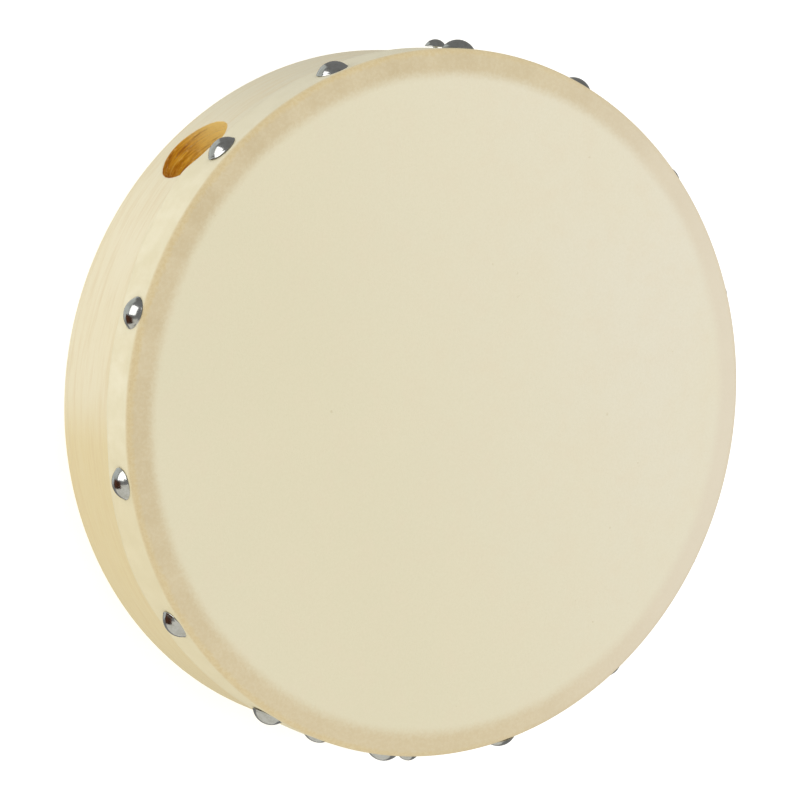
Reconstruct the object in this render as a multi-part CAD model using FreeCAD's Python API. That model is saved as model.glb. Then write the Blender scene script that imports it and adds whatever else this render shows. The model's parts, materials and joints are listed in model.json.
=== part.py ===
import FreeCAD, Part
import math
import os

# Small hand drum in the bodhran family: a bent-wood hoop of three plies with a thumb
# hole, one skin tacked round the front of the hoop, and a hand bar across the inside.
#
# Millimetres. The drum lies on its open rear edge with the skin up: +Z is the drum's
# axis, from the rear edge to the skin, and the origin is on that axis at the rear edge.
# +Y runs along the hand bar. Angles are counted from +X towards +Y.

# ---- overall ----
DRUM_R = 127.0  # over the skin: a drum of 10 in
DRUM_DEPTH = 54.5  # rear edge to the playing face: 2 in nominal

# ---- skin ----
SKIN_T = 0.75
SKIN_CLEARANCE = 0.05  # between the skin and the wood it is stretched over
SKIN_WRAP = 17.0  # how far the skin comes down the side from the playing face

# ---- hoop ----
PLY_T = 3.9
GLUE_LINE = 0.1
FRONT_ROUNDING = 1.7  # outer front corner, which the skin is bent over
BEARING_ROUNDING = 3.8  # inner front corner, so that the skin bears on a narrower ring
EDGE_ROUNDING = 0.5  # the rear corners
SEAM_GAP = 0.15  # where the two ends of a bent ply meet
SEAM_AT = {"outer_ply": 262.5, "core_ply": 348.0, "inner_ply": 179.0}

# ---- thumb hole ----
THUMB_R = 14.2
THUMB_ANGLE = 136.7
THUMB_Z = 22.2

# ---- hand bar ----
BAR_WIDTH = 22.0
BAR_T = 9.0
BAR_ROUNDING = 3.0
BAR_Z = 31.0
BAR_END_CLEARANCE = 0.1

# ---- nails: a domed sheet-metal head on a pointed shank ----
HEAD_R = 5.75
HEAD_H = 3.2
SMALL_HEAD_R = 3.9
SMALL_HEAD_H = 2.7
HEAD_T = 0.5
SHANK_R = 0.8
SHANK_POINT = 2.5
SHANK_CLEARANCE = 0.05
SEAT_CLEARANCE = 0.02
TACK_LENGTH = 8.0
BAR_NAIL_LENGTH = 25.0
# Angle of each tack, and how far its middle is behind the playing face. The row was set
# by eye, so no two gaps are quite the same.
TACKS = [
    (20, 8.3), (42.4, 8.8), (66.7, 8.9), (90.7, 8.3), (114.2, 8.2),
    (136.9, 9.2), (166.3, 7.0), (192.8, 8.3), (217.3, 8.4), (240.2, 8.1),
    (263.6, 9.8), (285.4, 6.8), (309.5, 8.3), (333, 8.3), (356.5, 8.3),
]
BAR_NAIL_ANGLES = [90.8, 270]
BAR_NAIL_PROUD = 1.4  # these two aren't driven quite home
# Each end of the outer ply is pinned beside the seam: the first nail is in the row's
# band and goes through the skin, and the second is in the bare wood.
FRONT_SEAM_NAIL = (268.1, DRUM_DEPTH - 8.7)
REAR_SEAM_NAIL = (255.1, DRUM_DEPTH - 26.0)

# ---- worked out ----
HOOP_R = DRUM_R - SKIN_T - SKIN_CLEARANCE
HOOP_TOP = DRUM_DEPTH - SKIN_T - SKIN_CLEARANCE
PLY_PITCH = PLY_T + GLUE_LINE
HOOP_INNER_R = HOOP_R - 2 * PLY_PITCH - PLY_T
SKIN_EDGE_Z = DRUM_DEPTH - SKIN_WRAP
TOOL_CLEAR = 5.0  # how far a cutting tool runs past the surface

V = FreeCAD.Vector
AXIS = V(0, 0, 1)
ORIGIN = V(0, 0, 0)


def rounded_outline(corners):
    """A closed outline in the XZ plane, from square corners given as (x, z, rounding)."""
    edges = []
    points = [V(x, 0, z) for x, z, _ in corners]
    ends = []
    for i, (_, _, r) in enumerate(corners):
        here = points[i]
        before = V(points[i - 1] - here).normalize()
        after = V(points[(i + 1) % len(points)] - here).normalize()
        start = here + before * r
        end = here + after * r
        if r > 0:
            middle = here + (before + after) * r * (1 - math.sqrt(0.5))
            edges.append(Part.Arc(start, middle, end).toShape())
        ends.append((start, end))
    for i, (_, end) in enumerate(ends):
        edges.append(Part.makeLine(end, ends[(i + 1) % len(ends)][0]))
    return Part.Wire(Part.__sortEdges__(edges))


def radial(shape, angle, r, z):
    """Stands a shape that was made along +Z on the hoop, pointing outwards."""
    shape.rotate(ORIGIN, V(0, 1, 0), 90)
    shape.translate(V(r, 0, z))
    shape.rotate(ORIGIN, AXIS, angle)
    return shape


def thumb_hole_cut():
    tool = Part.makeCylinder(THUMB_R, DRUM_R - HOOP_INNER_R + 2 * TOOL_CLEAR)
    return radial(tool, THUMB_ANGLE, HOOP_INNER_R - TOOL_CLEAR, THUMB_Z)


def nail_list():
    """Every nail as name, angle, height, seat radius, head and length."""
    big = (HEAD_R, HEAD_H)
    small = (SMALL_HEAD_R, SMALL_HEAD_H)
    nails = []
    for number, (angle, behind_face) in enumerate(TACKS, 1):
        z = DRUM_DEPTH - behind_face
        nails.append((f"skin_tack_{number:02d}", angle, z, DRUM_R, big, TACK_LENGTH))
    for number, angle in enumerate(BAR_NAIL_ANGLES, 1):
        seat_r = HOOP_R + BAR_NAIL_PROUD
        nails.append((f"bar_nail_{number}", angle, BAR_Z, seat_r, small, BAR_NAIL_LENGTH))
    nails.append(("seam_nail_front", *FRONT_SEAM_NAIL, DRUM_R, small, TACK_LENGTH))
    nails.append(("seam_nail_rear", *REAR_SEAM_NAIL, HOOP_R, big, TACK_LENGTH - 1.0))
    return nails


def nail(angle, z, seat_r, head, length):
    """A hollow dome on a shank, turned in one piece about its own axis."""
    head_r, head_h = head
    dome_r = (head_r**2 + head_h**2) / (2 * head_h)
    centre_z = head_h - dome_r
    inside_r = dome_r - HEAD_T
    rim_inside = math.sqrt(inside_r**2 - centre_z**2)
    shank_top = centre_z + math.sqrt(inside_r**2 - SHANK_R**2)
    middle = math.asin(head_r / dome_r) / 2

    def on_dome(r, turn):
        return V(r * math.sin(turn), 0, centre_z + r * math.cos(turn))

    outside = Part.Arc(V(0, 0, head_h), on_dome(dome_r, middle), V(head_r, 0, 0))
    inside = Part.Arc(V(rim_inside, 0, 0), on_dome(inside_r, middle), V(SHANK_R, 0, shank_top))
    edges = [
        outside.toShape(),
        Part.makeLine(V(head_r, 0, 0), V(rim_inside, 0, 0)),
        inside.toShape(),
        Part.makeLine(V(SHANK_R, 0, shank_top), V(SHANK_R, 0, SHANK_POINT - length)),
        Part.makeLine(V(SHANK_R, 0, SHANK_POINT - length), V(0, 0, -length)),
        Part.makeLine(V(0, 0, -length), V(0, 0, head_h)),
    ]
    turned = Part.Face(Part.Wire(edges)).revolve(ORIGIN, AXIS, 360)
    return radial(turned, angle, seat_r + SEAT_CLEARANCE, z)


def shank_cuts(only_under_r):
    """The holes that the shanks make, for those that reach inside a given radius."""
    cuts = []
    for _, angle, z, seat_r, _, length in nail_list():
        if seat_r - length > only_under_r:
            continue
        depth = length + SHANK_CLEARANCE
        tool = Part.makeCylinder(SHANK_R + SHANK_CLEARANCE, depth + TOOL_CLEAR)
        cuts.append(radial(tool, angle, seat_r - depth, z))
    return cuts


def ply(name, index):
    """One strip of the hoop, bent round until its ends meet."""
    outer_r = HOOP_R - index * PLY_PITCH
    inner_r = outer_r - PLY_T
    outside = name == "outer_ply"
    inside = name == "inner_ply"
    corners = [
        (inner_r, 0, EDGE_ROUNDING if inside else 0),
        (outer_r, 0, EDGE_ROUNDING if outside else 0),
        (outer_r, HOOP_TOP, FRONT_ROUNDING if outside else 0),
        (inner_r, HOOP_TOP, BEARING_ROUNDING if inside else 0),
    ]
    section = Part.Face(rounded_outline(corners))
    strip = section.revolve(ORIGIN, AXIS, 360 - math.degrees(SEAM_GAP / outer_r))
    strip.rotate(ORIGIN, AXIS, SEAM_AT[name])
    return strip.cut([thumb_hole_cut()] + shank_cuts(outer_r))


def drum_skin():
    """A flat disc with a rounded rim and a skirt down the side, all one thickness."""
    inner_r = DRUM_R - SKIN_T
    under_z = DRUM_DEPTH - SKIN_T
    bend = FRONT_ROUNDING + SKIN_CLEARANCE
    corners = [
        (0, under_z, 0),
        (inner_r, under_z, bend),
        (inner_r, SKIN_EDGE_Z, 0),
        (DRUM_R, SKIN_EDGE_Z, 0),
        (DRUM_R, DRUM_DEPTH, bend + SKIN_T),
        (0, DRUM_DEPTH, 0),
    ]
    section = Part.Face(rounded_outline(corners))
    return section.revolve(ORIGIN, AXIS, 360).cut(shank_cuts(DRUM_R))


def hand_bar():
    """A flat stick whose ends are hollowed to the inside of the hoop."""
    end_r = HOOP_INNER_R - BAR_END_CLEARANCE
    corner = V(-BAR_WIDTH / 2, -HOOP_INNER_R, BAR_Z - BAR_T / 2)
    bar = Part.makeBox(BAR_WIDTH, 2 * HOOP_INNER_R, BAR_T, corner)
    long_edges = [e for e in bar.Edges if abs(e.Length - 2 * HOOP_INNER_R) < 1e-6]
    bar = bar.makeFillet(BAR_ROUNDING, long_edges)
    bar = bar.common(Part.makeCylinder(end_r, DRUM_DEPTH))
    return bar.cut(shank_cuts(end_r))


def parts():
    made = {}
    for index, name in enumerate(SEAM_AT):
        made[name] = ply(name, index)
    made["drum_skin"] = drum_skin()
    made["hand_bar"] = hand_bar()
    for name, *facts in nail_list():
        made[name] = nail(*facts)
    return made


def main():
    os.makedirs("parts", exist_ok=True)
    for name, shape in parts().items():
        if len(shape.Solids) != 1 or not shape.isValid():
            raise ValueError(f"{name} is not one valid solid")
        shape.Solids[0].exportStep(f"parts/{name}.step")


main()
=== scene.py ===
import json
import math
import random

import bpy
from mathutils import Matrix, Vector, noise

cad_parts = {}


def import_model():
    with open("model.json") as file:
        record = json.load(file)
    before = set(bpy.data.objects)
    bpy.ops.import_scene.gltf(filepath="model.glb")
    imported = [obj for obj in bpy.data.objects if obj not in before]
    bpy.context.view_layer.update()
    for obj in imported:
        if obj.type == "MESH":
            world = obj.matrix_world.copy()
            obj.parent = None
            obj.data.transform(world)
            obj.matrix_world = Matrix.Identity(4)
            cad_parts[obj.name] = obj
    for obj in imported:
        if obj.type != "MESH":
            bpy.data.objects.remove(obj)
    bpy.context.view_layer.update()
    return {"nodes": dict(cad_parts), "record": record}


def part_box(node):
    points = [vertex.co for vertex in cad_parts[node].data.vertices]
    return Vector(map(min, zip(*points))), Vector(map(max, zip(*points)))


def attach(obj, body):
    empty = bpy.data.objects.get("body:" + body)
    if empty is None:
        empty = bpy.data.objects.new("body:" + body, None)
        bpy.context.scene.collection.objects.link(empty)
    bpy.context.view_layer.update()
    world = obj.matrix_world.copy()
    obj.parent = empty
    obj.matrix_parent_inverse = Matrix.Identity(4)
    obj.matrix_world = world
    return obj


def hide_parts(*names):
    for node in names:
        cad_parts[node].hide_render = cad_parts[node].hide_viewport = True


# A small tacked frame drum lying on its open rear edge, skin up. Metres, in the CAD frame:
# +Z is the drum's axis, +Y runs along the hand bar, angles are counted from +X to +Y.

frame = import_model()

MM = 0.001
TURN = 2 * math.pi
UP = Vector((0, 0, 1))


# ---- measures from the CAD ----

def vertices(node):
    return [v.co for v in frame["nodes"][node].data.vertices]


def radii(node):
    return [point.xy.length for point in vertices(node)]


def record_mount(name):
    """One of the part's mounts, as the frame gives it."""
    return next(m for m in frame["record"]["mounts"] if m["name"] == name)


DRUM_R = max(radii("drum_skin"))
DRUM_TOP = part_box("drum_skin")[1].z
HOOP_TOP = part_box("outer_ply")[1].z
HOOP_INNER_R = min(radii("inner_ply"))
PLIES = ["outer_ply", "core_ply", "inner_ply"]
TACKS = sorted(node for node in frame["nodes"] if node.startswith("skin_tack"))
OTHER_NAILS = ["bar_nail_1", "bar_nail_2", "seam_nail_front", "seam_nail_rear"]

THUMB = record_mount("thumb_hole")
THUMB_AXIS = Vector(THUMB["axis"])
THUMB_SIDE = UP.cross(THUMB_AXIS)
THUMB_TURN = math.atan2(THUMB_AXIS.y, THUMB_AXIS.x) % TURN
THUMB_Z = THUMB["pos_m"][2]
THUMB_R = THUMB["dims"]["r_mm"] * MM

# ---- skin ----
SKIN_T = 0.75 * MM
SKIN_BEND = 2.5 * MM
SKIN_SAG = 0.3 * MM
SKIN_WAVER = 0.06 * MM  # how far the skin is from even where it lies on the wood
SKIN_LIFT = 0.38 * MM  # how far the cut edge stands off the wood between two tacks
SKIN_FIRM = 7.0 * MM  # from the face down to here, the tacks hold the skin to the wood
SKIN_COLUMNS = 720
# The mesh's rings on the face, in mm: closer together where the skin lies on the wood.
FACE_RADII = [6, 14, 24, 36, 48, 60, 72, 82, 91, 99, 105, 110, 113, 115, 116.5, 117.6, 118.6, 119.6,
              120.6, 121.6, 122.6, 123.6]
BEND_STEPS = 8
SIDE_STEPS = 18
# How far down the side the hand-cut edge comes, in mm, at some angles in degrees.
SKIN_CUT = [(18, 17.6), (52, 19.2), (88, 17.4), (115, 18.4), (134, 17.0), (138, 19.2), (142, 22.6),
            (152, 20.2), (166, 16.9), (184, 16.2), (199, 19.5), (214, 22.0), (232, 19.6), (262, 17.6),
            (290, 18.9), (322, 16.6), (345, 18.6)]
CUT_WAVER = 0.35  # mm, in long waves
CUT_JITTER = 0.12  # mm, in short ones
CUT_FIBRES = 0.08 * MM

# ---- hoop ----
FRONT_ROUNDING = 1.7 * MM
BEARING_ROUNDING = 3.8 * MM
BEARING_R = HOOP_INNER_R + BEARING_ROUNDING  # where the skin leaves the wood
EDGE_ROUNDING = 0.5 * MM
GLUED_ROUNDING = 0.08 * MM
SEAM_GAP = 0.15 * MM
SEAM_AT = {"outer_ply": 262.5, "core_ply": 348.0, "inner_ply": 179.0}
COLUMN_STEP = math.radians(1.5)
CORNER_STEPS = 5
FRONT_ROWS = 5  # rows of the mesh between the hole's patch and the front corners
HOLE_PATCH_TURN = math.radians(9.0)  # half the width of the finer patch round the thumb hole
HOLE_PATCH_COLUMNS = 44
HOLE_PATCH_REACH = 17.5 * MM
HOLE_PATCH_ROWS = 40
HOLE_PATCH_SHARES = (0.2, 0.42, 0.64, 0.84)  # rings between the patch's border and the hole
BORE_LEVELS = 6
BORE_WAVER = 0.22 * MM  # the hole's wall: one slow wave, a quicker one and fine scoring
BORE_RIPPLE = 0.10 * MM
BORE_SCORING = 0.05 * MM
RIM_SOFTENING = 0.45 * MM  # how far the thumb hole's edges are sanded
GLUED_SOFTENING = 0.03 * MM
GLUE_FILM = 0.04 * MM  # how far each glued face reaches into the glue line

# ---- nails ----
SHANK_R = 0.8 * MM
HEAD_T = 0.5 * MM
RIM_ROLL = 0.28 * MM
NAIL_SEGMENTS = 56
DOME_STEPS = 16
UNDER_STEPS = 8
NAIL_TILT = 2.2  # degrees about each of two axes, at most
NAIL_SEED = 12

# ---- hand bar ----
BAR_ROUNDING = 3.0 * MM
BAR_CORNER_STEPS = 6
BAR_ROWS = 90
BAR_WANDER = 0.12 * MM  # what the plane leaves uneven
BAR_END_EASING = 0.035  # how much the section shrinks at the sanded ends
BAR_END = 0.994  # where that starts, as a share of the half length

# ---- camera: turns in degrees, lens and sensor in mm ----
CAMERA_TURN = 30.307
CAMERA_TILT = 6.887
CAMERA_ROLL = 4.0  # the whole drum is turned by this about its axis
SKIN_IN_CAMERA = Vector((18.45, -2.39, -1063.4)) * MM  # the skin's centre: right, up, back
CAMERA_LENS = 134.2
CAMERA_SENSOR = 36.0
CAMERA_NEAREST = 0.05  # metres

# ---- light ----
# The white surroundings, as matt surfaces, reflections and the camera see them.
WORLD_FILL = 0.88
WORLD_IN_GLOSS = 0.23
WORLD_SEEN = 1.0
FLOOR_GLOW = 0.35
FLOOR_REACH = 6.0
FLOOR_DROP = 0.2 * MM
# Direction in the camera's own axes (right, up, back), distance, size, watts and colour.
# A fill lights matt surfaces only, and a card shows in reflections only.
LIGHTS = {
    "right_fill": ((0.75, 0.20, 0.63), 1.5, 1.2, 3.3, (1, 1, 1)),
    "left_fill": ((-0.90, 0.35, -0.20), 1.2, 0.9, 2.0, (1, 1, 1)),
    "low_fill": ((-0.60, -0.70, 0.35), 1.2, 0.9, 0.8, (1, 1, 1)),
    "bright_card": ((-0.77, 0.40, 0.49), 1.2, 0.90, 5.3, (1, 1, 1)),
    "low_card": ((-0.40, -0.90, 0.12), 1.2, 2.7, 12.5, (1.0, 0.97, 0.86)),
    "left_card": ((-0.80, 0.42, -0.50), 1.2, 1.3, 2.2, (0.93, 1.0, 0.96)),
}
BROWN_CARD = (-0.97, -0.24, 0.06)  # the dark thing that the nails at the left mirror
BROWN_CARD_DISTANCE = 0.9
BROWN_CARD_SIZE = (0.50, 0.80)


# ---- small helpers ----

def smooth(low, high, value):
    """0 at low and 1 at high, with an S-shaped change between them and none outside."""
    share = min(1.0, max(0.0, (value - low) / (high - low)))
    return share * share * (3 - 2 * share)


def polar(r, turn, z):
    return Vector((r * math.cos(turn), r * math.sin(turn), z))


def ripple(turn, scale, seed):
    """A smooth wave round a circle, between about -1 and 1 and the same each run."""
    place = Vector((math.cos(turn) * scale, math.sin(turn) * scale, seed))
    return noise.noise(place) * 1.6


def mesh_piece(name, points, faces, material, node, sharp=40):
    """A smooth-shaded mesh that rides on the drum and stands for a CAD node."""
    mesh = bpy.data.meshes.new(name)
    mesh.from_pydata([tuple(p) for p in points], [], faces)
    mesh.validate()
    mesh.materials.append(material)
    mesh.shade_smooth()
    mesh.set_sharp_from_angle(angle=math.radians(sharp))
    piece = bpy.data.objects.new(name, mesh)
    bpy.context.scene.collection.objects.link(piece)
    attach(piece, "root")
    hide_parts(node)
    return piece


def turned_mesh(profile, segments):
    """Points and faces of a closed lathe shape about Z, its profile from pole to pole."""
    rings = profile[1:-1]
    points = [Vector((0, 0, profile[0][1]))]
    for r, z in rings:
        points += [polar(r, TURN * i / segments, z) for i in range(segments)]
    points.append(Vector((0, 0, profile[-1][1])))
    last = len(points) - 1
    faces = []
    for i in range(segments):
        j = (i + 1) % segments
        faces.append((0, 1 + i, 1 + j))
        base = 1 + (len(rings) - 1) * segments
        faces.append((last, base + j, base + i))
        for ring in range(len(rings) - 1):
            a = 1 + ring * segments
            b = a + segments
            faces.append((a + i, b + i, b + j, a + j))
    return points, faces


# ---- material helpers ----

# The Mix node's sockets for a colour, which share their names with those for a number.
MIX_FACTOR, MIX_A, MIX_B, MIX_RESULT = 0, 6, 7, 2


def srgb(red, green, blue):
    """A colour given as 0 to 255, as linear RGBA."""
    return tuple(((c / 255 + 0.055) / 1.055) ** 2.4 for c in (red, green, blue)) + (1.0,)


class Shading:
    """A material being built: its methods add nodes and return the last one's output."""

    def __init__(self, name):
        self.material = bpy.data.materials.new(name)
        self.material.use_nodes = True
        self.tree = self.material.node_tree
        self.shader = self.tree.nodes["Principled BSDF"]
        place = self.tree.nodes.new("ShaderNodeTexCoord").outputs["Object"]
        split = self.node("SeparateXYZ", {"Vector": place})
        self.place = place
        self.x = split.outputs["X"]
        self.y = split.outputs["Y"]
        self.z = split.outputs["Z"]

    def node(self, kind, inputs, **settings):
        made = self.tree.nodes.new("ShaderNode" + kind)
        for key, value in settings.items():
            setattr(made, key, value)
        for key, value in inputs.items():
            self.join(value, made.inputs[key])
        return made

    def join(self, value, socket):
        if isinstance(value, bpy.types.NodeSocket):
            self.tree.links.new(value, socket)
        else:
            socket.default_value = value

    def math(self, operation, a, b):
        return self.node("Math", {0: a, 1: b}, operation=operation).outputs[0]

    def vector(self, x, y, z):
        return self.node("CombineXYZ", {"X": x, "Y": y, "Z": z}).outputs[0]

    def along(self, direction, origin):
        """Distance along a fixed direction from a fixed point."""
        from_there = self.node("VectorMath", {0: self.place, 1: origin}, operation="SUBTRACT")
        dot = self.node("VectorMath", {0: from_there.outputs[0], 1: direction}, operation="DOT_PRODUCT")
        return dot.outputs["Value"]

    def radius(self):
        flat = self.vector(self.x, self.y, 0.0)
        return self.node("VectorMath", {0: flat}, operation="LENGTH").outputs["Value"]

    def noise(self, place, scale, detail=4.0, roughness=0.55):
        inputs = {"Vector": place, "Scale": scale, "Detail": detail, "Roughness": roughness}
        return self.node("TexNoise", inputs).outputs[0]

    def ramp(self, value, low, high, to_low=0.0, to_high=1.0):
        inputs = {"Value": value, "From Min": low, "From Max": high, "To Min": to_low, "To Max": to_high}
        return self.node("MapRange", inputs, interpolation_type="SMOOTHSTEP").outputs[0]

    def mix(self, factor, a, b):
        inputs = {MIX_FACTOR: factor, MIX_A: a, MIX_B: b}
        return self.node("Mix", inputs, data_type="RGBA").outputs[MIX_RESULT]

    def bump(self, height, distance, strength=1.0, normal=None):
        inputs = {"Height": height, "Distance": distance, "Strength": strength}
        if normal is not None:
            inputs["Normal"] = normal
        return self.node("Bump", inputs).outputs[0]

    def finish(self, color, roughness, normal, **fixed):
        self.join(color, self.shader.inputs["Base Color"])
        self.join(roughness, self.shader.inputs["Roughness"])
        self.join(normal, self.shader.inputs["Normal"])
        for key, value in fixed.items():
            self.shader.inputs[key.replace("_", " ")].default_value = value
        return self.material


def around(shading, radial, axial):
    """Coordinates that follow the hoop: a point of its circle, then radius and height, scaled."""
    r = shading.radius()
    cosine = shading.math("DIVIDE", shading.x, r)
    sine = shading.math("DIVIDE", shading.y, r)
    inward = shading.math("MULTIPLY", r, radial)
    level = shading.math("MULTIPLY", shading.z, axial)
    scaled = [shading.math("MULTIPLY", part, DRUM_R) for part in (cosine, sine)]
    return shading.vector(*scaled, shading.math("ADD", inward, level))


# ---- materials ----

def skin_material():
    """Goatskin: clear and pale over the air, tanned in a soft ring where it lies on the wood."""
    s = Shading("natural_skin")
    r = s.radius()
    cloudy = s.noise(s.place, 15.0, 4.0, 0.55)
    mottled = s.noise(s.place, 120.0, 5.0, 0.6)
    grain = s.noise(s.place, 1100.0, 3.0, 0.6)
    pebbles = s.noise(s.place, 850.0, 4.0, 0.7)
    patches = s.noise(around(s, 0.4, 0.4), 70.0, 4.0, 0.6)
    # Painted light: the face is made paler toward +X and a little toward +Y, where more light falls on it.
    to_upper_right = s.math("ADD", s.x, s.math("MULTIPLY", s.y, 0.45))
    painted_light_upper_right = s.ramp(to_upper_right, -0.6 * DRUM_R, 1.05 * DRUM_R)

    face = s.mix(painted_light_upper_right, srgb(227, 219, 188), srgb(232, 225, 203))
    face = s.mix(s.ramp(cloudy, 0.3, 0.7, 0.0, 0.35), face, srgb(231, 222, 191))
    face = s.mix(s.ramp(mottled, 0.4, 0.75, 0.0, 0.22), face, srgb(229, 214, 187))
    face = s.mix(s.ramp(grain, 0.3, 0.7, 0.0, 0.08), face, srgb(206, 196, 158))
    flecks = s.ramp(s.noise(s.place, 260.0, 2.0, 0.5), 0.75, 0.80, 0.0, 0.35)
    face = s.mix(flecks, face, srgb(196, 182, 144))

    tanned = s.mix(s.ramp(patches, 0.3, 0.7), srgb(208, 191, 153), srgb(217, 202, 166))
    # Painted light: the band is made lighter toward -Y.
    tanned = s.mix(s.ramp(s.y, 0.0, -0.9 * DRUM_R, 0.0, 0.6), tanned, srgb(220, 204, 167))
    tanned = s.mix(s.ramp(pebbles, 0.38, 0.66, 0.0, 0.20), tanned, srgb(206, 184, 143))
    tanned = s.mix(s.ramp(pebbles, 0.54, 0.38, 0.0, 0.16), tanned, srgb(228, 215, 184))
    # Painted light: the band fades to a pale colour toward +X.
    band_with_painted_light = s.mix(s.ramp(s.x, 0.1 * DRUM_R, 1.0 * DRUM_R, 0.0, 0.82), tanned, srgb(230, 220, 199))

    side = s.mix(s.ramp(mottled, 0.3, 0.7), srgb(234, 224, 188), srgb(241, 232, 200))
    # Painted shade: the side is made darker and warmer toward -Y.
    painted_shade_low_side = s.ramp(s.y, 0.05 * DRUM_R, -0.35 * DRUM_R, 0.0, 0.75)
    side = s.mix(painted_shade_low_side, side, srgb(230, 216, 173))
    side = s.mix(s.ramp(patches, 0.45, 0.7, 0.0, 0.35), side, srgb(224, 210, 166))
    # Painted shade: the side is made darker and greyer toward +Y.
    side = s.mix(s.ramp(s.y, 0.50 * DRUM_R, 0.92 * DRUM_R, 0.0, 0.85), side, srgb(223, 216, 189))

    waver = s.math("MULTIPLY", s.math("SUBTRACT", s.math("ADD", patches, pebbles), 1.0), 2.4 * MM)
    wavering_r = s.math("ADD", r, waver)
    on_wood = s.ramp(wavering_r, BEARING_R - 2.6 * MM, BEARING_R + 2.6 * MM)
    color = s.mix(on_wood, face, band_with_painted_light)
    # Painted shading: a golden tone on the bend, where the skin turns from the face to the side, strongest
    # toward -X.
    bent = s.mix(s.ramp(pebbles, 0.35, 0.65), srgb(224, 204, 156), srgb(216, 193, 142))
    painted_bend_shading_share = s.math("MULTIPLY", s.ramp(wavering_r, DRUM_R - 2.8 * MM, DRUM_R - 0.9 * MM),
                        s.ramp(s.x, 0.7 * DRUM_R, -0.4 * DRUM_R, 0.15, 0.7))
    color = s.mix(painted_bend_shading_share, color, bent)
    down = s.math("SUBTRACT", DRUM_TOP, s.z)
    color = s.mix(s.ramp(down, 1.0 * MM, 2.8 * MM), color, side)

    coarse = s.bump(s.math("ADD", mottled, pebbles), 0.30 * MM, 0.25)
    fine = s.bump(grain, 0.10 * MM, 0.5, coarse)
    roughness = s.ramp(mottled, 0.2, 0.8, 0.52, 0.66)
    return s.finish(color, roughness, fine, Specular_IOR_Level=0.30)


def wood_material(name, pale, warm, pore, gloss):
    """Close-grained veneer whose grain runs round the hoop, with painted shade: warmer and darker toward
    -Y, greyer toward +Y.
    """
    s = Shading(name)
    grain = s.noise(around(s, 6.0, 11.0), 36.0, 5.0, 0.6)
    fibres = s.noise(around(s, 20.0, 34.0), 100.0, 3.0, 0.6)
    cloudy = s.noise(around(s, 1.0, 1.6), 13.0, 3.0, 0.5)
    dashes = s.noise(around(s, 9.0, 14.0), 190.0, 2.0, 0.5)
    color = s.mix(s.ramp(cloudy, 0.3, 0.7, 0.0, 0.25), pale, warm)
    # Painted shade: the wall is made warmer and darker toward -Y.
    color = s.mix(s.ramp(s.y, 0.02 * DRUM_R, -0.16 * DRUM_R, 0.0, 0.85), color, warm)
    # Painted shade: the wall is made darker and greyer toward +Y.
    color = s.mix(s.ramp(s.y, 0.45 * DRUM_R, 0.95 * DRUM_R, 0.0, 0.8), color, srgb(219, 212, 186))
    color = s.mix(s.ramp(grain, 0.42, 0.68, 0.0, 0.28), color, pore)
    color = s.mix(s.ramp(dashes, 0.63, 0.72, 0.0, 0.25), color, pore)
    color = s.mix(s.ramp(fibres, 0.4, 0.6, 0.0, 0.12), color, srgb(247, 238, 213))
    relief = s.bump(s.math("ADD", grain, s.math("MULTIPLY", fibres, 0.7)), 0.12 * MM, 0.35)
    roughness = s.ramp(grain, 0.3, 0.7, gloss, gloss + 0.12)
    return s.finish(color, roughness, relief, Specular_IOR_Level=0.35)


def bored_material(name, dark, light):
    """Raw wood inside the thumb hole: stripes round the hole, where the cutter met each layer, with painted
    light at one end of the hole and painted shade at the other; its deep orange is partly the raw wood and
    partly painted light bounced about inside the hole.
    """
    s = Shading(name)
    along = s.along(THUMB_AXIS, (0, 0, 0))
    across = s.along(THUMB_SIDE, (0, 0, THUMB_Z))
    up = s.math("SUBTRACT", s.z, THUMB_Z)
    ringed = s.vector(along, s.math("MULTIPLY", across, 0.10), s.math("MULTIPLY", up, 0.10))
    stripes = s.noise(ringed, 780.0, 4.0, 0.65)
    fibres = s.noise(s.vector(along, s.math("MULTIPLY", across, 0.35), up), 900.0, 4.0, 0.65)
    # Painted light: the wall is made paler at the end away from THUMB_SIDE and toward the face.
    painted_light_end = s.ramp(s.math("SUBTRACT", s.math("MULTIPLY", up, 0.3), across), -0.4 * THUMB_R, 0.9 * THUMB_R)
    color = s.mix(s.ramp(stripes, 0.38, 0.62), dark, light)
    color = s.mix(s.math("MULTIPLY", painted_light_end, 0.85), color, srgb(255, 226, 142))
    # Painted shade: the wall is made darker toward the end along THUMB_SIDE.
    color = s.mix(s.ramp(across, 0.0, 0.9 * THUMB_R, 0.0, 0.6), color, srgb(158, 92, 4))
    color = s.mix(s.ramp(fibres, 0.55, 0.74, 0.0, 0.6), color, srgb(252, 222, 160))
    color = s.mix(s.ramp(stripes, 0.46, 0.32, 0.0, 0.5), color, srgb(156, 90, 8))
    relief = s.bump(s.math("ADD", stripes, fibres), 0.30 * MM, 0.7)
    return s.finish(color, 0.7, relief, Specular_IOR_Level=0.2)


def bar_material():
    """Planed wood whose grain runs along the bar."""
    s = Shading("planed_bar_wood")
    stretched = s.vector(s.x, s.math("MULTIPLY", s.y, 0.07), s.z)
    grain = s.noise(stretched, 330.0, 5.0, 0.62)
    figure = s.noise(s.vector(s.math("MULTIPLY", s.x, 2.4), s.math("MULTIPLY", s.y, 0.16), s.z), 60.0, 3.0)
    color = s.mix(s.ramp(figure, 0.35, 0.65), srgb(232, 213, 166), srgb(216, 191, 139))
    color = s.mix(s.ramp(grain, 0.45, 0.7, 0.0, 0.5), color, srgb(190, 158, 106))
    relief = s.bump(grain, 0.16 * MM, 0.4)
    return s.finish(color, s.ramp(grain, 0.3, 0.7, 0.42, 0.6), relief, Specular_IOR_Level=0.35)


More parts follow.
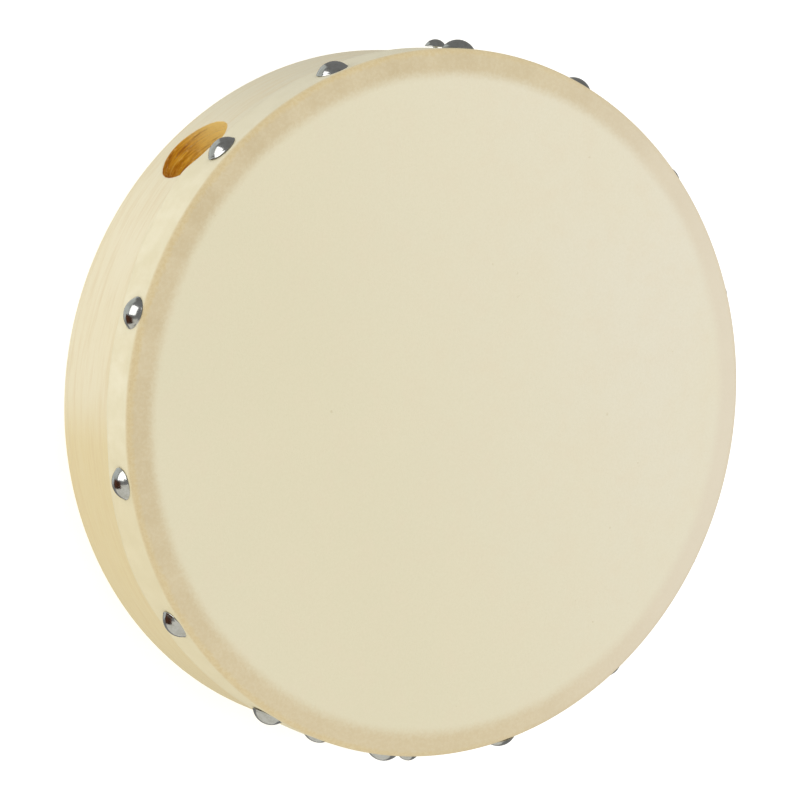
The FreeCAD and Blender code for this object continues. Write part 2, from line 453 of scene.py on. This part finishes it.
def nickel_material():
    """Bright plating, faintly brushed and a little dulled in places."""
    s = Shading("polished_nickel")
    brushed = s.noise(s.place, 2600.0, 2.0, 0.5)
    worn = s.noise(s.place, 420.0, 3.0, 0.6)
    color = s.mix(s.ramp(worn, 0.35, 0.7), srgb(205, 206, 203), srgb(188, 188, 182))
    relief = s.bump(s.math("ADD", brushed, worn), 0.012 * MM, 0.3)
    return s.finish(color, s.ramp(worn, 0.3, 0.75, 0.14, 0.21), relief, Metallic=1.0)


def floor_material():
    """A pale sweep that is clear from below, so that the open back can be looked into."""
    s = Shading("pale_floor")
    speckle = s.noise(s.place, 300.0, 2.0)
    s.finish(s.mix(speckle, srgb(250, 250, 250), srgb(252, 252, 252)), 0.9, s.bump(speckle, 0.02 * MM))
    s.shader.inputs["Emission Color"].default_value = (1, 1, 1, 1)
    s.shader.inputs["Emission Strength"].default_value = FLOOR_GLOW
    behind = s.tree.nodes.new("ShaderNodeNewGeometry").outputs["Backfacing"]
    clear = s.tree.nodes.new("ShaderNodeBsdfTransparent")
    both = s.node("MixShader", {0: behind, 1: s.shader.outputs[0], 2: clear.outputs[0]})
    s.tree.links.new(both.outputs[0], s.tree.nodes["Material Output"].inputs["Surface"])
    return s.material


# ---- skin ----

def tack_turns():
    """Where the tacks are round the hoop, in order."""
    found = []
    for node in TACKS:
        crown = max(vertices(node), key=lambda point: point.xy.length)
        found.append(math.atan2(crown.y, crown.x) % TURN)
    return sorted(found)


TACK_TURNS = tack_turns()


def between_tacks(turn):
    """0 at a tack and 1 half way to the next one."""
    turns = [t for base in TACK_TURNS for t in (base - TURN, base, base + TURN)]
    before = max(t for t in turns if t <= turn)
    after = min(t for t in turns if t > turn)
    return math.sin(math.pi * (turn - before) / (after - before))


def skin_cut_depth(turn):
    """How far down the side the cut edge of the skin is at this angle."""
    degrees = math.degrees(turn)
    first, first_depth = SKIN_CUT[0]
    last, last_depth = SKIN_CUT[-1]
    wrapped = [(last - 360, last_depth)] + SKIN_CUT + [(first + 360, first_depth)]
    for (a, depth_a), (b, depth_b) in zip(wrapped, wrapped[1:]):
        if a <= degrees <= b:
            depth = depth_a + (depth_b - depth_a) * smooth(a, b, degrees)
    return (depth + CUT_WAVER * ripple(turn, 9.0, 3.0) + CUT_JITTER * ripple(turn, 46.0, 7.0)) * MM


def skin_profile(turn):
    """Points from beside the face's centre, over the rim, round the cut edge and back inside."""
    cut = skin_cut_depth(turn)
    loose = between_tacks(turn)

    def level(r):
        """How far the face is from flat: it sinks over the air and wavers over the wood."""
        over_air = smooth(BEARING_R + 1.5 * MM, BEARING_R - 6 * MM, r)
        sunk = SKIN_SAG * (1 - smooth(0.0, BEARING_R, r) * 0.25) * over_air
        over_wood = smooth(70 * MM, BEARING_R, r) * smooth(DRUM_R - 2 * MM, DRUM_R - 5 * MM, r)
        return SKIN_WAVER * ripple(turn, 14.0, r / MM * 0.3) * over_wood - sunk

    def stand_off(depth):
        """How far the side is off the wood: most at the cut edge, half way between two tacks."""
        uneven = 0.75 + 0.25 * ripple(turn, 5.0, 1.0)
        return SKIN_LIFT * loose ** 1.3 * smooth(SKIN_FIRM, cut, depth) * uneven

    outside = [(r * MM, DRUM_TOP + level(r * MM)) for r in FACE_RADII]
    for step in range(BEND_STEPS + 1):
        bend = math.pi / 2 * step / BEND_STEPS
        r = DRUM_R - SKIN_BEND * (1 - math.sin(bend))
        outside.append((r, DRUM_TOP - SKIN_BEND * (1 - math.cos(bend))))
    inside = []
    for r, z in outside:
        slope = math.asin(min(1.0, max(0.0, (r - DRUM_R + SKIN_BEND) / SKIN_BEND)))
        inside.append((r - SKIN_T * math.sin(slope), z - SKIN_T * math.cos(slope)))
    for step in range(1, SIDE_STEPS + 1):
        depth = SKIN_BEND + (cut - SKIN_BEND) * step / SIDE_STEPS
        r = DRUM_R + stand_off(depth)
        outside.append((r, DRUM_TOP - depth))
        inside.append((r - SKIN_T, DRUM_TOP - depth))
    edge_r = outside[-1][0]
    edge_z = DRUM_TOP - cut
    torn = CUT_FIBRES * ripple(turn, 60.0, 11.0)
    lip = [(edge_r - 0.12 * MM, edge_z - 0.14 * MM), (edge_r - SKIN_T / 2, edge_z - 0.2 * MM + torn),
           (edge_r - SKIN_T + 0.1 * MM, edge_z - 0.12 * MM)]
    return outside + lip + inside[::-1]


def skin():
    """One sheet with both its faces, from the middle of the drum round the cut edge and back."""
    columns = SKIN_COLUMNS
    profiles = [skin_profile(TURN * i / columns) for i in range(columns)]
    rows = len(profiles[0])
    points = [Vector((0, 0, DRUM_TOP - SKIN_SAG))]
    for row in range(rows):
        for i in range(columns):
            r, z = profiles[i][row]
            points.append(polar(r, TURN * i / columns, z))
    points.append(Vector((0, 0, DRUM_TOP - SKIN_SAG - SKIN_T)))
    faces = []
    last = 1 + (rows - 1) * columns
    for i in range(columns):
        j = (i + 1) % columns
        faces.append((0, 1 + i, 1 + j))
        faces.append((len(points) - 1, last + j, last + i))
        for row in range(rows - 1):
            a = 1 + row * columns
            b = a + columns
            faces.append((a + i, b + i, b + j, a + j))
    piece = mesh_piece("tacked_skin", points, faces, skin_material(), "drum_skin", sharp=60)


# ---- hoop ----

def column_turns(seam_turn, outer_r):
    """Angles of the strip's columns from end to end, and the hole patch's first and last column."""
    start = seam_turn + SEAM_GAP / outer_r / 2
    end = seam_turn + TURN - SEAM_GAP / outer_r / 2
    hole = THUMB_TURN if THUMB_TURN > start else THUMB_TURN + TURN
    low = hole - HOLE_PATCH_TURN
    high = hole + HOLE_PATCH_TURN

    def spread(a, b, count):
        return [a + (b - a) * i / count for i in range(count)]

    before = spread(start, low, max(1, round((low - start) / COLUMN_STEP)))
    patch = spread(low, high, HOLE_PATCH_COLUMNS)
    after = spread(high, end, max(1, round((end - high) / COLUMN_STEP)))
    return before + patch + after + [end], len(before), len(before) + len(patch)


def rounded_rungs(outer_r, inner_r, top, roundings):
    """Outer and inner wall points from rear to front, and the hole patch's first and last row."""
    rear_out, front_out, front_in, rear_in = roundings
    rungs = []
    for i in range(CORNER_STEPS + 1):
        a = math.pi / 2 * i / CORNER_STEPS
        drop = 1 - math.cos(a)
        run = 1 - math.sin(a)
        rungs.append(((outer_r - rear_out * run, rear_out * drop),
                      (inner_r + rear_in * run, rear_in * drop)))
    patch_low = THUMB_Z - HOLE_PATCH_REACH
    patch_high = THUMB_Z + HOLE_PATCH_REACH
    first = len(rungs)
    for i in range(HOLE_PATCH_ROWS + 1):
        z = patch_low + (patch_high - patch_low) * i / HOLE_PATCH_ROWS
        rungs.append(((outer_r, z), (inner_r, z)))
    last = len(rungs) - 1
    straight_top = top - max(front_out, front_in)
    for i in range(1, FRONT_ROWS):
        z = patch_high + (straight_top - patch_high) * i / FRONT_ROWS
        rungs.append(((outer_r, z), (inner_r, z)))
    for i in range(CORNER_STEPS + 1):
        a = math.pi / 2 * i / CORNER_STEPS
        run = 1 - math.cos(a)
        rise = 1 - math.sin(a)
        rungs.append(((outer_r - front_out * run, top - front_out * rise),
                      (inner_r + front_in * run, top - front_in * rise)))
    return rungs, first, last


def bore_radius(turn, depth):
    """The hole is cut by hand tools, so its wall is a little wavy and scored."""
    slow = BORE_WAVER * ripple(turn, 1.6, 21.0)
    quick = BORE_RIPPLE * ripple(turn, 7.0, 23.0 + depth / MM * 0.05)
    scored = BORE_SCORING * ripple(turn, 26.0, 25.0 + depth / MM * 0.08)
    return THUMB_R + slow + quick + scored


def on_wall(r, u, z):
    """The point of a wall of this radius that is u beside the thumb hole's axis."""
    return THUMB_AXIS * math.sqrt(r * r - u * u) + THUMB_SIDE * u + UP * z


class Strip:
    """A bent strip being built: its mesh, and where the finer patch round the thumb hole is."""

    def __init__(self, outer_r, inner_r, seam_turn, roundings):
        self.outer_r = outer_r
        self.inner_r = inner_r
        self.turns, self.hole_from, self.hole_to = column_turns(seam_turn, outer_r)
        self.rungs, self.low, self.high = rounded_rungs(outer_r, inner_r, HOOP_TOP, roundings)
        self.outer_soft = RIM_SOFTENING if roundings[0] > GLUED_ROUNDING else GLUED_SOFTENING
        self.inner_soft = RIM_SOFTENING if roundings[3] > GLUED_ROUNDING else GLUED_SOFTENING
        self.points = []
        self.faces = []

    def outer(self, column, row):
        return 2 * (column * len(self.rungs) + row)

    def inner(self, column, row):
        return self.outer(column, row) + 1

    def add_ring(self, ring):
        """Adds a ring of points and returns their numbers."""
        first = len(self.points)
        self.points += ring
        return list(range(first, len(self.points)))

    def walls(self):
        """Both walls without the patch round the hole, and the front and rear edges."""
        outer, inner = self.outer, self.inner
        for turn in self.turns:
            for (outer_r, outer_z), (inner_r, inner_z) in self.rungs:
                self.points.append(polar(outer_r, turn, outer_z))
                self.points.append(polar(inner_r, turn, inner_z))
        top = len(self.rungs) - 1
        for j in range(len(self.turns) - 1):
            self.faces.append((outer(j, 0), inner(j, 0), inner(j + 1, 0), outer(j + 1, 0)))
            self.faces.append((outer(j, top), outer(j + 1, top), inner(j + 1, top), inner(j, top)))
            for k in range(top):
                if self.hole_from <= j < self.hole_to and self.low <= k < self.high:
                    continue
                self.faces.append((outer(j, k), outer(j + 1, k), outer(j + 1, k + 1), outer(j, k + 1)))
                self.faces.append((inner(j, k), inner(j, k + 1), inner(j + 1, k + 1), inner(j + 1, k)))

    def seam_ends(self):
        """The two square ends that meet at the seam."""
        outer, inner = self.outer, self.inner
        end = len(self.turns) - 1
        for k in range(len(self.rungs) - 1):
            self.faces.append((outer(0, k), outer(0, k + 1), inner(0, k + 1), inner(0, k)))
            self.faces.append((outer(end, k), inner(end, k), inner(end, k + 1), outer(end, k + 1)))

    def patch_border(self):
        """Columns and rows of the patch's border, in order round the hole."""
        border = [(j, self.low) for j in range(self.hole_from, self.hole_to)]
        border += [(self.hole_to, k) for k in range(self.low, self.high)]
        border += [(j, self.high) for j in range(self.hole_to, self.hole_from, -1)]
        border += [(self.hole_from, k) for k in range(self.high, self.low, -1)]
        return border

    def wall_rings(self, r, number, inward, soft):
        """Rings of points on one wall from the patch's border in to the hole's softened rim."""
        at_border = [number(j, k) for j, k in self.patch_border()]
        flat = [(self.points[n].dot(THUMB_SIDE), self.points[n].z) for n in at_border]
        angles = [math.atan2(z - THUMB_Z, u) for u, z in flat]
        made = [at_border]
        for share in HOLE_PATCH_SHARES:
            ring = []
            for (u, z), a in zip(flat, angles):
                cut = bore_radius(a, 0.0) + soft
                hole_u = cut * math.cos(a)
                hole_z = THUMB_Z + cut * math.sin(a)
                ring.append(on_wall(r, u + (hole_u - u) * share, z + (hole_z - z) * share))
            made.append(self.add_ring(ring))
        for extra, sunk in ((soft, 0.0), (0.45 * soft, 0.2 * soft), (0.12 * soft, 0.55 * soft)):
            ring = []
            for a in angles:
                cut = bore_radius(a, 0.0) + extra
                at = on_wall(r, cut * math.cos(a), THUMB_Z + cut * math.sin(a))
                ring.append(at + THUMB_AXIS * sunk * inward)
            made.append(self.add_ring(ring))
        return made, angles

    def bore_rings(self, angles):
        """Rings of points down the wall of the thumb hole, from outside to inside."""
        made = []
        for level in range(BORE_LEVELS + 1):
            share = level / BORE_LEVELS
            ring = []
            for a in angles:
                cut = bore_radius(a, share * (self.outer_r - self.inner_r))
                u = cut * math.cos(a)
                far = math.sqrt(self.outer_r**2 - u * u) - self.outer_soft
                near = math.sqrt(self.inner_r**2 - u * u) + self.inner_soft
                reach = far + (near - far) * share
                ring.append(THUMB_AXIS * reach + THUMB_SIDE * u + UP * (THUMB_Z + cut * math.sin(a)))
            made.append(self.add_ring(ring))
        return made

    def thumb_hole(self):
        """Fills the patch round the hole and lines the hole: returns the lining's face range."""
        outside, angles = self.wall_rings(self.outer_r, self.outer, -1, self.outer_soft)
        inside, _ = self.wall_rings(self.inner_r, self.inner, 1, self.inner_soft)
        rings = outside + self.bore_rings(angles) + inside[::-1]
        around_hole = len(angles)
        lining_from = len(self.faces) + (len(outside) - 1) * around_hole
        for a, b in zip(rings, rings[1:]):
            for i in range(around_hole):
                j = (i + 1) % around_hole
                self.faces.append((a[i], a[j], b[j], b[i]))
        return lining_from, len(self.faces) - (len(inside) - 1) * around_hole


def hoop_strip(strip, name, materials, node):
    """A bent strip with square ends at its seam and the thumb hole through it."""
    strip.walls()
    strip.seam_ends()
    lining_from, lining_to = strip.thumb_hole()
    piece = mesh_piece(name, strip.points, strip.faces, materials[0], node)
    piece.data.materials.append(materials[1])
    for polygon in piece.data.polygons[lining_from:lining_to]:
        polygon.material_index = 1


def hoop():
    """The three plies, each a strip of its own whose glued faces reach into the glue line."""
    face = wood_material("hoop_veneer", srgb(238, 227, 193), srgb(230, 210, 155), srgb(216, 190, 138), 0.42)
    core = wood_material("core_veneer", srgb(214, 180, 122), srgb(200, 160, 98), srgb(160, 112, 56), 0.6)
    # The deep orange of the hole's lining is partly the raw wood and partly painted light bounced about
    # inside the hole.
    bored = {
        "outer_ply": bored_material("bored_outer_ply", srgb(168, 100, 6), srgb(224, 166, 44)),
        "core_ply": bored_material("bored_core_ply", srgb(196, 130, 14), srgb(240, 190, 70)),
        "inner_ply": bored_material("bored_inner_ply", srgb(178, 110, 8), srgb(228, 170, 50)),
    }
    corner = {
        "outer_ply": (EDGE_ROUNDING, FRONT_ROUNDING, GLUED_ROUNDING, GLUED_ROUNDING),
        "core_ply": (GLUED_ROUNDING,) * 4,
        "inner_ply": (GLUED_ROUNDING, GLUED_ROUNDING, BEARING_ROUNDING, EDGE_ROUNDING),
    }
    for node in PLIES:
        outer_r = max(radii(node)) + (0 if node == PLIES[0] else GLUE_FILM)
        inner_r = min(radii(node)) - (0 if node == PLIES[-1] else GLUE_FILM)
        wood = core if node == "core_ply" else face
        seam = math.radians(SEAM_AT[node]) - SEAM_GAP / outer_r / 2
        strip = Strip(outer_r, inner_r, seam, corner[node])
        hoop_strip(strip, "bent_" + node, (wood, bored[node]), node)


# ---- hand bar ----

def rounded_section(width, depth, rounding, steps):
    """Corner-rounded rectangle as (x, z) pairs, counted round from the lower right corner."""
    section = []
    corners = [(1, -1, -90), (1, 1, 0), (-1, 1, 90), (-1, -1, 180)]
    for side_x, side_z, first in corners:
        for i in range(steps + 1):
            a = math.radians(first + 90 * i / steps)
            x = side_x * (width / 2 - rounding) + rounding * math.cos(a)
            z = side_z * (depth / 2 - rounding) + rounding * math.sin(a)
            section.append((x, z))
    return section


def hand_bar():
    """A planed stick with rounded edges, its ends hollowed to the hoop and eased with sandpaper."""
    low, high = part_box("hand_bar")
    middle_z = (low.z + high.z) / 2
    end_r = high.y
    section = rounded_section(high.x - low.x, high.z - low.z, BAR_ROUNDING, BAR_CORNER_STEPS)
    around_bar = len(section)
    points = []
    for row in range(BAR_ROWS + 1):
        share = 2 * row / BAR_ROWS - 1
        eased = 1 - BAR_END_EASING * smooth(BAR_END, 1.0, abs(share))
        for x, z in section:
            reach = math.sqrt(end_r * end_r - x * x)
            y = reach * share
            uneven = Vector((x * 40, y * 14, z * 40 + 5.0))
            planed = BAR_WANDER * noise.noise(uneven) * smooth(1.0, 0.95, abs(share))
            points.append(Vector((x * eased + planed, y, middle_z + z * eased + planed * 0.6)))
    faces = []
    for row in range(BAR_ROWS):
        for i in range(around_bar):
            j = (i + 1) % around_bar
            a = row * around_bar
            b = a + around_bar
            faces.append((a + i, b + i, b + j, a + j))
    for row, flip in ((0, False), (BAR_ROWS, True)):
        rim = [row * around_bar + i for i in range(around_bar)]
        points.append(Vector((0, end_r * (1 if row else -1), middle_z)))
        centre = len(points) - 1
        for i in range(around_bar):
            j = (i + 1) % around_bar
            faces.append((centre, rim[j], rim[i]) if flip else (centre, rim[i], rim[j]))
    mesh_piece("planed_hand_bar", points, faces, bar_material(), "hand_bar")


# ---- nails ----

def nail_facts(node):
    """Seat point, outward direction, head radius, head height and shank length of a CAD nail."""
    points = vertices(node)
    crown = max(points, key=lambda point: point.xy.length)
    out = Vector((crown.x, crown.y, 0)).normalized()
    on_axis = UP * crown.z
    low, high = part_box(node)
    head_r = (high.z - low.z) / 2

    def off_axis(point):
        return (point - on_axis - out * (point - on_axis).dot(out)).length

    seat = min((p - on_axis).dot(out) for p in points if off_axis(p) > 0.9 * head_r)
    tip = min((p - on_axis).dot(out) for p in points)
    return on_axis + out * seat, out, head_r, crown.xy.length - seat, seat - tip


def nail_profile(head_r, head_h, length):
    """Half outline from the crown, round the rolled rim, up inside the head and down the shank."""
    dome_r = (head_r**2 + head_h**2) / (2 * head_h)
    centre = head_h - dome_r
    widest = math.asin((head_r - RIM_ROLL) / dome_r)
    outline = [(0.0, head_h)]
    for i in range(1, DOME_STEPS + 1):
        a = widest * i / DOME_STEPS
        outline.append((dome_r * math.sin(a), centre + dome_r * math.cos(a)))
    rim_z = outline[-1][1]
    outline += [(head_r - 0.25 * RIM_ROLL, rim_z * 0.62), (head_r, rim_z * 0.28),
                (head_r - 0.3 * RIM_ROLL, 0.0), (head_r - RIM_ROLL - HEAD_T * 0.6, 0.0)]
    inside_r = dome_r - HEAD_T
    under = math.asin(min(0.98, (head_r - RIM_ROLL - HEAD_T) / inside_r))
    narrow = math.asin(SHANK_R / inside_r)
    for i in range(UNDER_STEPS + 1):
        a = under + (narrow - under) * i / UNDER_STEPS
        outline.append((inside_r * math.sin(a), centre + inside_r * math.cos(a)))
    outline += [(SHANK_R, -length + 3 * SHANK_R), (SHANK_R * 0.25, -length + 0.5 * SHANK_R), (0.0, -length)]
    return outline


def nails(material):
    """Every nail, each leaning a little its own way."""
    pick = random.Random(NAIL_SEED)
    for node in TACKS + OTHER_NAILS:
        seat, out, head_r, head_h, length = nail_facts(node)
        points, faces = turned_mesh(nail_profile(head_r, head_h, length), NAIL_SEGMENTS)
        lean = [math.radians(pick.uniform(-NAIL_TILT, NAIL_TILT)) for _ in range(2)]
        spin = pick.uniform(0, TURN)
        place = Matrix.Translation(seat) @ out.to_track_quat("Z", "Y").to_matrix().to_4x4()
        place = place @ Matrix.Rotation(lean[0], 4, "X") @ Matrix.Rotation(lean[1], 4, "Y")
        place = place @ Matrix.Rotation(spin, 4, "Z")
        placed = [place @ point for point in points]
        mesh_piece("domed_" + node, placed, faces, material, node, sharp=55)


# ---- stage, light and camera ----

def camera_rotation():
    """Turns a direction in the camera's own axes (right, up, back) into one in the scene."""
    tilt = Matrix.Rotation(math.radians(CAMERA_TILT), 3, "X")
    turn = Matrix.Rotation(math.radians(CAMERA_TURN), 3, "Y")
    roll = Matrix.Rotation(math.radians(CAMERA_ROLL), 3, "Z")
    return roll @ (tilt @ turn).transposed()


def camera():
    data = bpy.data.cameras.new("camera")
    data.lens = CAMERA_LENS
    data.sensor_width = CAMERA_SENSOR
    data.clip_start = CAMERA_NEAREST
    made = bpy.data.objects.new("camera", data)
    bpy.context.scene.collection.objects.link(made)
    rotation = camera_rotation()
    place = UP * DRUM_TOP - rotation @ SKIN_IN_CAMERA
    made.matrix_world = Matrix.Translation(place) @ rotation.to_4x4()
    bpy.context.scene.camera = made


def soft_light(name, direction, distance, size, power, color):
    """A square light that faces the drum, placed by a direction in the camera's own axes."""
    towards = (camera_rotation() @ Vector(direction)).normalized()
    data = bpy.data.lights.new(name, "AREA")
    data.shape = "SQUARE"
    data.size = size
    data.energy = power
    data.color = color
    made = bpy.data.objects.new(name, data)
    bpy.context.scene.collection.objects.link(made)
    place = UP * DRUM_TOP / 2 + towards * distance
    made.matrix_world = Matrix.Translation(place) @ towards.to_track_quat("Z", "Y").to_matrix().to_4x4()
    made.visible_glossy = not name.endswith("fill")
    made.visible_diffuse = not name.endswith("card")


def brown_card():
    """A dark board that shows in reflections only."""
    towards = (camera_rotation() @ Vector(BROWN_CARD)).normalized()
    side = towards.cross(UP).normalized() * BROWN_CARD_SIZE[0] / 2
    rise = towards.cross(side).normalized() * BROWN_CARD_SIZE[1] / 2
    middle = UP * DRUM_TOP / 2 + towards * BROWN_CARD_DISTANCE
    corners = [middle - side - rise, middle + side - rise, middle + side + rise, middle - side + rise]
    mesh = bpy.data.meshes.new("brown_card")
    mesh.from_pydata([tuple(corner) for corner in corners], [], [(0, 1, 2, 3)])
    s = Shading("brown_board")
    patches = s.noise(s.place, 6.0, 3.0)
    color = s.mix(s.ramp(patches, 0.4, 0.6), (0.11, 0.035, 0.016, 1), (0.03, 0.016, 0.008, 1))
    s.join(color, s.shader.inputs["Emission Color"])
    s.shader.inputs["Emission Strength"].default_value = 1.0
    s.finish((0, 0, 0, 1), 1.0, s.bump(patches, MM), Specular_IOR_Level=0.0)
    mesh.materials.append(s.material)
    made = bpy.data.objects.new("brown_card", mesh)
    bpy.context.scene.collection.objects.link(made)
    made.visible_camera = False
    made.visible_diffuse = False
    made.visible_shadow = False


def world():
    """White to the eye, an even fill on everything matt, and a darker room in reflections."""
    made = bpy.data.worlds.new("studio")
    bpy.context.scene.world = made
    made.use_nodes = True
    tree = made.node_tree
    background = tree.nodes["Background"]
    path = tree.nodes.new("ShaderNodeLightPath")

    def level(ray, low, high):
        """Low for most rays and high for this kind, each a number or an earlier level."""
        mixed = tree.nodes.new("ShaderNodeMix")
        mixed.data_type = "RGBA"
        tree.links.new(path.outputs[ray], mixed.inputs[MIX_FACTOR])
        for socket, value in ((MIX_A, low), (MIX_B, high)):
            if isinstance(value, bpy.types.NodeSocket):
                tree.links.new(value, mixed.inputs[socket])
            else:
                mixed.inputs[socket].default_value = (value, value, value, 1)
        return mixed.outputs[MIX_RESULT]

    room = level("Is Glossy Ray", WORLD_FILL, WORLD_IN_GLOSS)
    tree.links.new(level("Is Camera Ray", room, WORLD_SEEN), background.inputs["Color"])


def floor():
    mesh = bpy.data.meshes.new("floor")
    corners = [(-1, -1), (1, -1), (1, 1), (-1, 1)]
    points = [(x * FLOOR_REACH, y * FLOOR_REACH, -FLOOR_DROP) for x, y in corners]
    mesh.from_pydata(points, [], [(0, 1, 2, 3)])
    mesh.materials.append(floor_material())
    made = bpy.data.objects.new("floor", mesh)
    bpy.context.scene.collection.objects.link(made)
    made.visible_glossy = False
    made.visible_diffuse = False
    made.visible_shadow = False


# ---- the scene ----

skin()
hoop()
hand_bar()
nails(nickel_material())

camera()
world()
floor()
brown_card()
for light_name, facts in LIGHTS.items():
    soft_light(light_name, *facts)
bpy.context.scene.view_settings.view_transform = "Standard"
